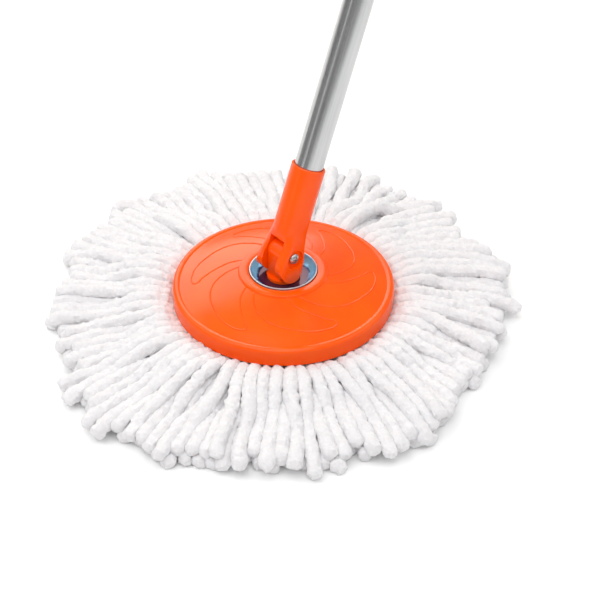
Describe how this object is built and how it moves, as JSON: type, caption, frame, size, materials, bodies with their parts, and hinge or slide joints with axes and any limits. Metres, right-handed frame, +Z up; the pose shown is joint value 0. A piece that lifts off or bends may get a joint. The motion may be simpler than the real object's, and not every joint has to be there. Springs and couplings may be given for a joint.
{
  "type": "spin mop",
  "caption": "Spin mop: round plastic head plate with a white chenille fringe, swivel and tilt joint, and a telescopic push-spin pole.",
  "frame": {"origin": "on the floor, under the middle of the round head", "axes": "+Z up; the pole tilts about an axis along Y and leans towards +X at rest, with the pivot screw's head on the -Y side"},
  "size_m": [0.6054, 0.335, 1.2004],
  "materials": {
    "orange_plastic": "moulded polypropylene, glossy, bright orange",
    "white_plastic": "moulded, satin white",
    "dark_plastic": "moulded acetal, dark grey",
    "chenille": "soft white microfibre chenille",
    "chromed_cup": "polished chrome",
    "tube_steel": "drawn steel tube, bright satin",
    "zinc_steel": "bright zinc plating"
  },
  "bodies": {
    "head": {"mop_plate": "orange_plastic", "swivel_cup": "chromed_cup", "refill_ring": "white_plastic", "strand_fringe": "chenille"},
    "swivel": {"knuckle": "orange_plastic", "swivel_washer": "zinc_steel", "swivel_screw": "zinc_steel"},
    "pole": {"pole_fork": "orange_plastic", "pivot_screw": "zinc_steel", "pivot_nut": "zinc_steel", "lower_tube": "tube_steel", "tube_screw": "zinc_steel", "nut_housing": "white_plastic", "drive_nut": "dark_plastic", "housing_cap": "white_plastic"},
    "glide": {"glide_ring": "white_plastic"},
    "handle": {"upper_tube": "tube_steel", "lock_collet": "white_plastic", "lock_collar": "orange_plastic", "grip_sleeve": "orange_plastic", "end_cap": "orange_plastic", "drive_rod": "zinc_steel", "rod_stop": "zinc_steel", "rod_plug": "white_plastic", "rod_pin": "zinc_steel"},
    "lock": {"lock_ring": "orange_plastic"}
  },
  "joints": [
    {"name": "head_swivel", "type": "hinge", "parent": "head", "child": "swivel", "pos_m": [0, 0, 0.0355], "axis": [0, 0, 1], "continuous": true},
    {"name": "pole_tilt", "type": "hinge", "parent": "swivel", "child": "pole", "pos_m": [0, 0, 0.0563], "axis": [0, 1, 0], "range_deg": [-100.7, 59.3]},
    {"name": "pole_spin", "type": "hinge", "parent": "pole", "child": "glide", "pos_m": [0, 0, 0.0563], "axis": [0.3535, 0, 0.9354], "continuous": true},
    {"name": "pole_press", "type": "slide", "parent": "glide", "child": "handle", "axis": [0.3535, 0, 0.9354], "range_m": [-0.27, 0]},
    {"name": "lock_twist", "type": "hinge", "parent": "handle", "child": "lock", "pos_m": [0, 0, 0.0563], "axis": [0.3535, 0, 0.9354], "range_deg": [0, 90]}
  ],
  "couplings": [
    {"joint": "pole_spin", "follows": "pole_press", "rad_per_m": 104.72}
  ]
}
